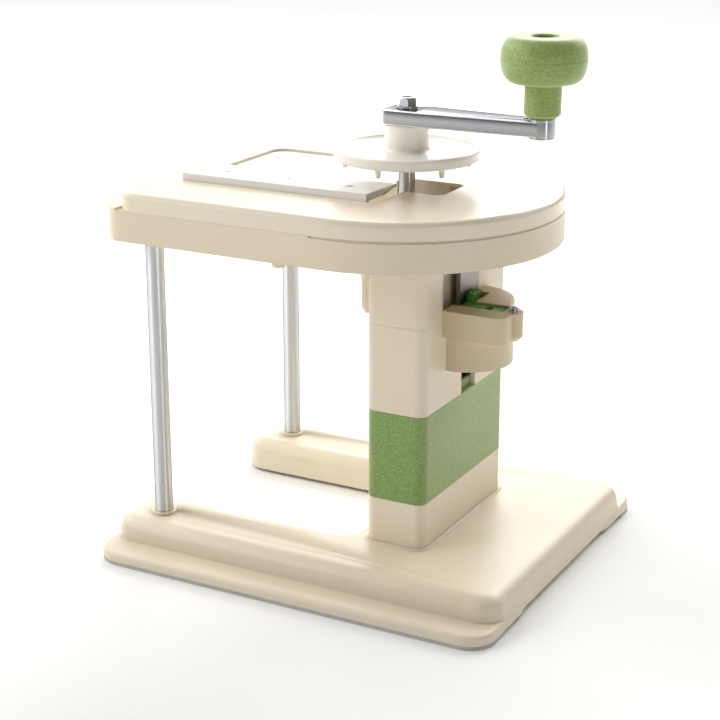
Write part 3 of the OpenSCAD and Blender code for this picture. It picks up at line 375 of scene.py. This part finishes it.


# the dark grey rim colour is painted shade: it darkens the bars' sides where they turn away
bar_steel_painted_dark_rim = polished_metal("ground_steel_bar_painted_dark_rim", "DADBDD", 0.36, 0.4, UP, rim="484849", ground=0.9)
plain_steel = polished_metal("plain_steel_fastener", "BFC0C3", 0.28, 0.3, ALONG)
finish_with(bar_steel_painted_dark_rim, "front_rod", "rear_rod")
finish_with(plain_steel, "rod_screws")


# The column: stacked hollow sections of ivory ABS round four long bolts. The foot's paler ivory is
# painted light, for the light it gets back from the base. The green spacer is wheat-straw plastic with
# pale fibres under a dusty satin skin.

def straw_plastic(name, colour, pale, dark):
    """Wheat-straw plastic: granular colour, short pale fibres and a powdery sheen."""
    material, tree, shader, place = new_material(name, IOR=1.49, Sheen_Weight=0.9, Sheen_Roughness=0.45)
    shader.inputs["Sheen Tint"].default_value = linear("F7F1DC")
    grain = add_node(tree, "ShaderNodeTexNoise", {"Scale": per_mm(1.2), "Detail": 3.0, "Roughness": 0.7},
                     {"Vector": place})
    ramp = add_node(tree, "ShaderNodeValToRGB", {}, {"Fac": grain.outputs["Fac"]})
    stops = ramp.color_ramp.elements
    stops[0].position, stops[0].color = 0.3, linear(dark)
    stops[1].position, stops[1].color = 0.72, linear(pale)
    stops.new(0.5).color = linear(colour)
    # fibres: noise pulled out level, since the melt flowed round the piece
    flow = add_node(tree, "ShaderNodeMapping", {"Scale": (per_mm(3.5), per_mm(3.5), per_mm(0.7))},
                    {"Vector": place})
    fibre = add_node(tree, "ShaderNodeTexNoise", {"Scale": 1.0, "Detail": 2.0, "Distortion": 0.6},
                     {"Vector": flow.outputs["Vector"]})
    shows = add_node(tree, "ShaderNodeMapRange", {"From Min": 0.56, "From Max": 0.7, "To Max": 0.45},
                     {"Value": fibre.outputs["Fac"]})
    mix = add_node(tree, "ShaderNodeMix", {"data_type": "RGBA"}, {"Factor": shows.outputs["Result"]})
    tree.links.new(ramp.outputs["Color"], mix.inputs[COLOUR_A])
    mix.inputs[COLOUR_B].default_value = linear(pale)
    tree.links.new(mix.outputs[MIXED], shader.inputs["Base Color"])
    gloss_between(tree, shader, grain.outputs["Fac"], 0.4, 0.54)
    soft_edge = add_node(tree, "ShaderNodeBevel", {"samples": 6, "Radius": 0.0006})
    bump = add_node(tree, "ShaderNodeBump", {"Strength": 0.2, "Distance": 0.00005},
                    {"Height": grain.outputs["Fac"], "Normal": soft_edge.outputs["Normal"]})
    tree.links.new(bump.outputs["Normal"], shader.inputs["Normal"])
    return material


finish_with(ivory_abs, "column_lower", "column_upper")
# the foot's paler ivory is painted light: the same plastic, made paler for the light the base throws back
finish_with(moulded_abs("foot_ivory_painted_bounce_light", "F5E8D2", "F2E5CD", 0.34, 0.44), "column_foot")
finish_with(straw_plastic("spacer_straw_plastic", "80A052", "99B46F", "6B8C48"), "column_spacer")
finish_with(plain_steel, "column_bolts")


# The slicing table: an ivory ABS skirt, open below, under a separate smooth top plate. The plate is the
# glossiest of the mouldings, since the cabbage polishes it, and the skirt's skin is a little duller.

# the skirt's ivory is a little darker than the plate's: painted shade, the same plastic made darker where
# it lies in shade
finish_with(moulded_abs("skirt_ivory_painted_shade", "E3D5BB", "DFD1B5", 0.38, 0.48), "table_body")
finish_with(moulded_abs("table_ivory_abs", "E9DDC6", "E6D9C0", 0.26, 0.32, edge=0), "table_top")
finish_with(plain_steel, "table_screws")

# the skirt's thin lip, which catches the light in the seam under the plate's round end
ROUND_X, ROUND_R, PLATE_H, SEAM_X = 0.015, 0.090, 0.0096, 0.00975
LIP_IN, LIP_OUT, LIP_LOW, LIP_TOP, LIP_EDGE = 0.0012, 0.0004, 0.0011, 0.0002, 0.0001

seam_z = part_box("table_top")[1][2] - PLATE_H
lip = turned("skirt_lip", (ROUND_X, 0), [
    (ROUND_R - LIP_IN, seam_z - LIP_LOW), (ROUND_R - LIP_OUT, seam_z - LIP_LOW),
    (ROUND_R - LIP_OUT, seam_z - LIP_TOP - LIP_EDGE), (ROUND_R - LIP_OUT - LIP_EDGE, seam_z - LIP_TOP),
    (ROUND_R - LIP_IN, seam_z - LIP_TOP), (ROUND_R - LIP_IN, seam_z - LIP_LOW)], around=160, closed=True)
bpy.ops.object.mode_set(mode="EDIT")
bpy.ops.mesh.select_all(action="SELECT")
bpy.ops.mesh.bisect(plane_co=(SEAM_X, 0, 0), plane_no=(1, 0, 0), use_fill=True, clear_inner=True)
close_up(lip)
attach(lip, "frame")
finish_with(ivory_abs, lip)

# the wall behind the throat, which reaches below the plate and turns the shreds down
WALL_T, WALL_H, WALL_FRONT, WALL_RIGHT, WALL_CORNER = 0.002, 0.005, 0.0055, 0.0105, 0.0005
throat_wall = level_block("throat_wall", (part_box("knife_bar")[0][0], WALL_FRONT),
                          (WALL_RIGHT, WALL_FRONT + WALL_T), seam_z - WALL_H, seam_z, WALL_CORNER,
                          edge=0, steps=3)
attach(throat_wall, "frame")
finish_with(ivory_abs, throat_wall)


# The shaft guide on the column: a glossy white ABS tube with two eared bosses, held by two screws. The
# pad at its foot is black acetal, duller, and so is the sleeve that turns in it, held by a steel ring.

WHITE, WHITE_WARM = "F6F0E6", "F2EBDE"
white_abs = moulded_abs("white_abs", WHITE, WHITE_WARM, 0.26, 0.34)
finish_with(white_abs, "shaft_guide")
black_acetal = moulded_abs("black_acetal", "2C2C2E", "343436", 0.45, 0.55, grain=0.6)
finish_with(black_acetal, "guide_sleeve", "thrust_pad")
finish_with(plain_steel, "guide_screws", "sleeve_ring")


# The knife and the thickness plate: clear white ABS, the knife a wedge with a ground blade under it, the
# glossiest of the steels. Small countersunk screws with a round drive hole hold both, set level with
# the white.

SCREW_R, SHANK_R, CONE_H, SCREW_RIM = 0.0028, 0.0014, 0.002, 0.0002
# the dome's height, and the shares of the head's radius and of that height where its curve bends
DOME, DOME_R, DOME_H = 0.0003, 0.7, 0.6
DRIVE_R, DRIVE_DEEP, DRIVE_TAPER = 0.0010, 0.0009, 0.9
# the knife's screws as shares of its length
KNIFE_SHARES = (0.18, 0.515, 0.845)
KNIFE_SCREW_IN, KNIFE_SCREW_H, PLATE_SCREW_H = 0.0006, 0.011, 0.005


def small_screw(name, centre, level, under):
    """One screw as a lathe makes it: shank, cone, low dome and the drive hole."""
    return turned(name, centre, [
        (SHANK_R, level - under), (SHANK_R, level - CONE_H), (SCREW_R, level - SCREW_RIM),
        (SCREW_R, level), (SCREW_R * DOME_R, level + DOME * DOME_H), (DRIVE_R, level + DOME),
        (DRIVE_R * DRIVE_TAPER, level - DRIVE_DEEP)], around=32)


def copy_to(piece, name, shift):
    """A copy with its own mesh, moved in the mesh."""
    twin = piece.copy()
    twin.data = piece.data.copy()
    twin.name = twin.data.name = name
    twin.data.transform(Matrix.Translation(shift))
    bpy.context.scene.collection.objects.link(twin)
    return twin


bar_low, bar_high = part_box("knife_bar")
screws_low, screws_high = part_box("knife_screws")
knife_row = (screws_low[1] + screws_high[1]) / 2
screw_x = [bar_low[0] + share * (bar_high[0] - bar_low[0]) for share in KNIFE_SHARES]
knife_screw = small_screw("knife_screw_left", (screw_x[0], knife_row), bar_high[2] - KNIFE_SCREW_IN,
                          KNIFE_SCREW_H)
knife_pieces = [knife_screw] + [copy_to(knife_screw, "knife_screw_" + side, (x - screw_x[0], 0, 0))
                                for side, x in zip(("middle", "right"), screw_x[1:])]
plate_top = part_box("thickness_plate")[1][2]
seat_low, seat_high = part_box("thickness_screws")
seat_row = (seat_low[1] + seat_high[1]) / 2
left_x, right_x = seat_low[0] + SCREW_R, seat_high[0] - SCREW_R
plate_screw = small_screw("thickness_screw_left", (left_x, seat_row), plate_top - DOME, PLATE_SCREW_H)
plate_pieces = [plate_screw, copy_to(plate_screw, "thickness_screw_right", (right_x - left_x, 0, 0))]
screw_steel = polished_metal("small_screw_steel", "DADBDC", 0.3, 0.3, ALONG)
for group, node in ((knife_pieces, "knife_screws"), (plate_pieces, "thickness_screws")):
    for piece in group:
        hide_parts(node)
        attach(piece, "frame")
        finish_with(screw_steel, piece)
clear_white_abs = moulded_abs("clear_white_abs", "FAF9F6", "F7F6F1", 0.28, 0.36)
finish_with(clear_white_abs, "knife_bar", "thickness_plate")
finish_with(polished_metal("ground_blade_steel", "C9CBCE", 0.2, 0.25, ALONG), "knife_blade")


# The latch: an ivory housing screwed to the column, its ivory darker as painted shade, a dull steel strip
# that hangs from the table into it, and a rocking lever of bright green ABS on a steel pin, pushed up by a
# small coil spring.

# the housing's darker ivory is painted shade: the same plastic, made darker for the shade it stands in
# under the table
finish_with(moulded_abs("housing_ivory_painted_shade", "D9C9A8", "D5C4A2", 0.36, 0.46), "latch_housing")
finish_with(moulded_abs("latch_green_abs", "58A043", "4F9640", 0.3, 0.38), "release_latch")
finish_with(polished_metal("dull_sheet_steel", "8F8A84", 0.38, 0.3, UP), "hanger_strip")
finish_with(plain_steel, "hanger_screws", "housing_screws", "latch_pin", "latch_spring")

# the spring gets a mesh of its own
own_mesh(nodes["latch_spring"])


# The shaft and the disk that it turns: polished bar under a white ABS disk with a dished face, a tall
# hub and six short prongs under its rim that grip the cabbage.

DISK_R, RIM_H, RIM_W, DISK_EDGE, RIM_EDGE = 0.0396, 0.006, 0.002, 0.0014, 0.0006
BORE_R, HUB_R, HUB_TOP, HUB_FILLET, HUB_EDGE = 0.00455, 0.0118, 0.0186, 0.003, 0.0006
FACE_LOW, FACE_TOP, FACE_RISE = 0.0008, 0.0041, 0.0004
PRONG_N, PRONG_RING, PRONG_R, PRONG_TIP, PRONG_H = 6, 0.0334, 0.0018, 0.0014, 0.0052
# a prong's round end: shares of its tip's radius, with the height of each above its lowest point
PRONG_END = ((1.0, 0.0008), (0.86, 0.0003), (0.5, 0.0))


def arc(centre, radius, from_deg, to_deg, steps):
    """Points of a round profile, as (radius, height)."""
    turns = [math.radians(from_deg + (to_deg - from_deg) * i / steps) for i in range(steps + 1)]
    return [(centre[0] + radius * math.cos(a), centre[1] + radius * math.sin(a)) for a in turns]


axis = box_middle("shaft")
hub_top_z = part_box("pusher_disk")[1][2]
disk_z = hub_top_z - HUB_TOP
# the dished underside, the round edge and the raised rim, then the dished face and the hub
profile = [(BORE_R, FACE_LOW), (DISK_R - RIM_W * 2, FACE_LOW), (DISK_R - RIM_W * 1.1, 0)]
profile += arc((DISK_R - DISK_EDGE, DISK_EDGE), DISK_EDGE, -90, 0, steps=4)
profile += arc((DISK_R - DISK_EDGE, RIM_H - DISK_EDGE), DISK_EDGE, 0, 90, steps=4)
profile += arc((DISK_R - RIM_W, RIM_H - RIM_EDGE), RIM_EDGE, 90, 165, steps=3)
profile += [(DISK_R - RIM_W * 2, FACE_TOP + FACE_RISE), (DISK_R - RIM_W * 2.6, FACE_TOP)]
profile += arc((HUB_R + HUB_FILLET, FACE_TOP + HUB_FILLET), HUB_FILLET, 270, 180, steps=6)
profile += [(HUB_R, HUB_TOP - HUB_EDGE), (HUB_R - HUB_EDGE, HUB_TOP)]
profile += [(BORE_R, HUB_TOP), (BORE_R, FACE_LOW)]
disk = turned("white_disk", axis, [(r, disk_z + z) for r, z in profile], around=96, closed=True)
prong_rings = [(PRONG_R, disk_z + FACE_LOW + SUNK), (PRONG_R, disk_z)]
prong_rings += [(PRONG_TIP * share, disk_z - PRONG_H + height) for share, height in PRONG_END]
prong = turned("prong", (axis[0] + PRONG_RING, axis[1]), prong_rings, around=24)
to_axis = Matrix.Translation((axis[0], axis[1], 0))
prongs = []
for i in range(PRONG_N):
    twin = copy_to(prong, "prong_%d" % i, (0, 0, 0))
    turn = Matrix.Rotation(math.radians(-90 + 360 * i / PRONG_N), 4, "Z")
    twin.data.transform(to_axis @ turn @ to_axis.inverted())
    prongs.append(twin)
bpy.data.objects.remove(prong)
join_into(disk, prongs)
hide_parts("pusher_disk")
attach(disk, "crank")
finish_with(white_abs, disk)
finish_with(bar_steel_painted_dark_rim, "shaft")


# The crank arm: polished aluminium bar, wide at the shaft and narrow at the knob, where it has a turned
# boss whose marks draw light out up and down. The arm's rounded edges get a near-white, rougher
# aluminium, a painted highlight, so a thin bright line runs along them.

ARM_BACK, ARM_REACH, ARM_HALF, KNOB_HALF = 0.0108, 0.0775, 0.0105, 0.007
ARM_T, ARM_R, ARM_EDGE, BOSS_OUT, BOSS_EDGE = 0.0083, 0.004, 0.0007, 0.0012, 0.0004
STUD_R, BOLT_R = 0.00305, 0.0033
# the end's corners stop just short of meeting
END_SHARE = 0.98
# a face whose normal rises less than UPRIGHT is a wall and more than LEVEL a top, with edges between;
# a wall is the boss's own when it stands within this share of the boss's radius
UPRIGHT, LEVEL, BOSS_NEAR = 0.2, 0.97, 0.02

arm_z = hub_top_z
arm_top = arm_z + ARM_T
knob_x = axis[0] + ARM_REACH
arm = start_plane("aluminium_arm", (axis[0] - ARM_BACK, -ARM_HALF), (knob_x + KNOB_HALF, ARM_HALF), arm_z)
bpy.ops.object.mode_set(mode="EDIT")
for cut_x in (axis[0] + ARM_HALF, knob_x):
    bpy.ops.mesh.select_all(action="SELECT")
    bpy.ops.mesh.bisect(plane_co=(cut_x, 0, 0), plane_no=(1, 0, 0))
pick(arm, "verts", lambda m, v: m.x > knob_x - NEAR)
bpy.ops.transform.resize(value=(1, KNOB_HALF / ARM_HALF, 1), center_override=(knob_x, 0, arm_z))
round_corners(arm, ARM_R, lambda m, v: m.x < axis[0] - ARM_BACK + NEAR, steps=8)
round_corners(arm, KNOB_HALF * END_SHARE, lambda m, v: m.x > knob_x + KNOB_HALF - NEAR, steps=12)
bpy.ops.mesh.select_all(action="SELECT")
bpy.ops.mesh.extrude_region_move(TRANSFORM_OT_translate={"value": (0, 0, ARM_T)})
round_rim(arm, arm_top, ARM_EDGE, steps=3)
round_rim(arm, arm_z, ARM_EDGE, steps=3)
close_up(arm, smooth_deg=30)
boss = turned("boss", (knob_x, 0), [
    (KNOB_HALF - BOSS_EDGE, arm_z - BOSS_OUT), (KNOB_HALF, arm_z - BOSS_OUT + BOSS_EDGE),
    (KNOB_HALF, arm_top + BOSS_OUT - BOSS_EDGE), (KNOB_HALF - BOSS_EDGE, arm_top + BOSS_OUT)])
hole_low, hole_high = arm_z - CUT_PAST, arm_top + CUT_PAST
cut_out(arm, turned("stud_hole", axis, [(STUD_R, hole_low), (STUD_R, hole_high)], around=32))
for solid in (arm, boss):
    cut_out(solid, turned("bolt_hole", (knob_x, 0), [(BOLT_R, hole_low), (BOLT_R, hole_high)], around=32))
join_into(arm, [boss])
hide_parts("crank_arm")
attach(arm, "crank")
aluminium = polished_metal("polished_aluminium_bar", "9C9D9F", 0.2, 0.3, ALONG, depth=0.04, rim="B4B5B8")
# the rounded edges' near-white aluminium is a painted highlight: a bright line along them
painted_highlight_aluminium = polished_metal("aluminium_edge_painted_highlight", "F2F3F4", 0.42, 0.3, ALONG, depth=0.04)
boss_aluminium = polished_metal("turned_aluminium_boss", "B9BABC", 0.32, 0.3, UP, ground=0.95)
finish_with(aluminium, arm)
arm.data.materials.append(painted_highlight_aluminium)
arm.data.materials.append(boss_aluminium)
# faces between a wall and a top are the rounded edges, which take the painted highlight; the boss's wall
# takes the turned aluminium
for face in arm.data.polygons:
    rise = abs(face.normal.z)
    from_boss = abs(math.hypot(face.center.x - knob_x, face.center.y) - KNOB_HALF)
    if UPRIGHT < rise < LEVEL:
        face.material_index = 1
    elif rise < UPRIGHT and from_boss < KNOB_HALF * BOSS_NEAR:
        face.material_index = 2
finish_with(plain_steel, "crank_washer", "crank_nut", "knob_bolt")


# The knob: wheat-straw plastic in a yellower green, moulded in two halves, so a fine parting line
# runs round its head. It turns on a shouldered bolt whose cap lies in the hole on top.

KNOB_R, HEAD_TALL, NECK_R, NECK_TALL, NECK_CHAMFER = 0.02235, 0.0236, 0.0097, 0.0176, 0.0016
NECK_FILLET, HOLE_R, HOLE_DEEP, HOLE_EDGE, KNOB_BORE_R = 0.0005, 0.00675, 0.009, 0.0008, 0.0036
LINE_OUT, LINE_HALF = 0.00012, 0.0002
# the head: shares of the knob's radius at its foot and crown, and of its height at its widest part
FOOT_SHARE, CROWN_SHARE, WIDE_LOW, PARTING, WIDE_HIGH = 0.70, 0.72, 0.47, 0.5, 0.56


def oval(share_from, share_to, low, high, bulge_up, steps):
    """A quarter oval between two shares of the knob's radius and of its head's height."""
    points = []
    for i in range(steps + 1):
        a = math.radians(90 * i / steps)
        out, up = (math.sin(a), 1 - math.cos(a)) if bulge_up else (math.cos(a), math.sin(a))
        span = (share_to - share_from) * out if bulge_up else (share_from - share_to) * out
        base = share_from if bulge_up else share_to
        points.append(((base + span) * KNOB_R, NECK_TALL + (low + (high - low) * up) * HEAD_TALL))
    return points


knob_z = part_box("knob")[0][2]
profile = [(KNOB_BORE_R, 0), (NECK_R - NECK_CHAMFER, 0), (NECK_R, NECK_CHAMFER),
           (NECK_R, NECK_TALL - NECK_FILLET), (NECK_R + NECK_FILLET, NECK_TALL)]
profile += oval(FOOT_SHARE, 1.0, 0.0, WIDE_LOW, bulge_up=True, steps=8)
line_z = NECK_TALL + PARTING * HEAD_TALL
profile += [(KNOB_R, line_z - LINE_HALF), (KNOB_R + LINE_OUT, line_z), (KNOB_R, line_z + LINE_HALF)]
profile += oval(1.0, CROWN_SHARE, WIDE_HIGH, 1.0, bulge_up=False, steps=8)
knob_top = NECK_TALL + HEAD_TALL
profile += [(HOLE_R + HOLE_EDGE, knob_top), (HOLE_R, knob_top - HOLE_EDGE), (HOLE_R, knob_top - HOLE_DEEP),
            (KNOB_BORE_R, knob_top - HOLE_DEEP), (KNOB_BORE_R, 0)]
knob = turned("green_knob", (knob_x, 0), [(r, knob_z + z) for r, z in profile], around=96, closed=True)
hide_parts("knob")
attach(knob, "knob")
finish_with(straw_plastic("knob_straw_plastic", "8AA151", "A0B371", "738C42"), knob)


# The studio: a white sweep that glows past the object, as a product photographer lights it, softboxes
# overhead, behind and on the left, a narrow strip on the right that the bars mirror, and dim air.

# the paper's width, which is also how far the camera sees
FAR = 60


def pale_floor(far_glow):
    """The white paper under the object, which gives light of its own further out."""
    bpy.ops.object.select_all(action="DESELECT")
    bpy.ops.mesh.primitive_plane_add(size=FAR, location=(0, 0, 0))
    floor = bpy.context.active_object
    floor.name = floor.data.name = "studio_floor"
    material, tree, shader, place = new_material("white_paper_sweep", Roughness=0.9,
                                                 Specular_IOR_Level=0.1)
    wash = add_node(tree, "ShaderNodeTexNoise", {"Scale": 2.0, "Detail": 1.0}, {"Vector": place})
    two_tints(tree, shader, wash.outputs["Fac"], "FAFAF9", "F8F8F7")
    reach = add_node(tree, "ShaderNodeVectorMath", {"operation": "LENGTH"}, {0: place})
    glow = add_node(tree, "ShaderNodeMapRange", {"From Min": 0.7, "From Max": 1.6, "To Max": far_glow},
                    {"Value": reach.outputs["Value"]})
    tree.links.new(glow.outputs["Result"], shader.inputs["Emission Strength"])
    shader.inputs["Emission Color"].default_value = (1.0, 1.0, 1.0, 1.0)
    floor.data.materials.append(material)


def soft_light(name, place, aim, size, watts):
    """A softbox at a place, turned to a point that it lights."""
    lamp = bpy.data.lights.new(name, "AREA")
    lamp.shape, lamp.size, lamp.size_y, lamp.energy = "RECTANGLE", size[0], size[1], watts
    holder = bpy.data.objects.new(name, lamp)
    holder.location = place
    holder.rotation_euler = (Vector(aim) - Vector(place)).to_track_quat("-Z", "Y").to_euler()
    bpy.context.scene.collection.objects.link(holder)


def studio_air(bright_side, bright, dim):
    """The air's light falls from the bright side to the dim one."""
    world = bpy.data.worlds.new("studio_air")
    world.use_nodes = True
    tree = world.node_tree
    place = tree.nodes.new("ShaderNodeTexCoord").outputs["Generated"]
    lean = add_node(tree, "ShaderNodeVectorMath", {"operation": "DOT_PRODUCT", 1: bright_side}, {0: place})
    level = add_node(tree, "ShaderNodeMapRange", {"From Min": -1.0, "To Min": dim, "To Max": bright},
                     {"Value": lean.outputs["Value"]})
    tree.links.new(level.outputs["Result"], tree.nodes["Background"].inputs["Strength"])
    tree.nodes["Background"].inputs["Color"].default_value = (1.0, 0.99, 0.975, 1.0)
    bpy.context.scene.world = world


pale_floor(0.85)
soft_light("overhead_softbox", (-0.2, 0.15, 1.5), (-0.2, 0.15, 0.1), (2.0, 2.6), 11)
soft_light("front_left_softbox", (-1.1, -1.14, 0.9), (-0.15, -0.4, 0.0), (0.8, 0.8), 9.6)
soft_light("rear_softbox", (-0.1, 1.4, 1.15), (0, 0, 0.1), (1.6, 1.0), 25)
soft_light("low_rear_softbox", (-0.75, 1.4, 0.72), (0, 0, 0.15), (2.0, 0.9), 9)
soft_light("rear_right_softbox", (1.1, 0.9, 1.1), (0, 0, 0.1), (1.0, 1.0), 4.4)
soft_light("left_softbox", (-1.4, 0.0, 1.1), (0, 0, 0.1), (1.0, 1.0), 16)
soft_light("right_strip_light", (1.02, -0.55, 0.2), (0, 0, 0.02), (0.1, 0.4), 1.2)
studio_air((-0.72, -0.62, 0.3), bright=0.03, dim=0.01)
bpy.context.scene.view_settings.view_transform = "Standard"

camera_data = bpy.data.cameras.new("photo_camera")
camera_data.sensor_width, camera_data.lens = 36.0, 86.56
camera_data.clip_start, camera_data.clip_end = 0.05, FAR
camera = bpy.data.objects.new("photo_camera", camera_data)
camera.location = (0.4331, -0.8209, 0.4099)
camera.rotation_euler = Vector((-0.4506, 0.8363, -0.3122)).to_track_quat("-Z", "Y").to_euler()
bpy.context.scene.collection.objects.link(camera)
bpy.context.scene.camera = camera
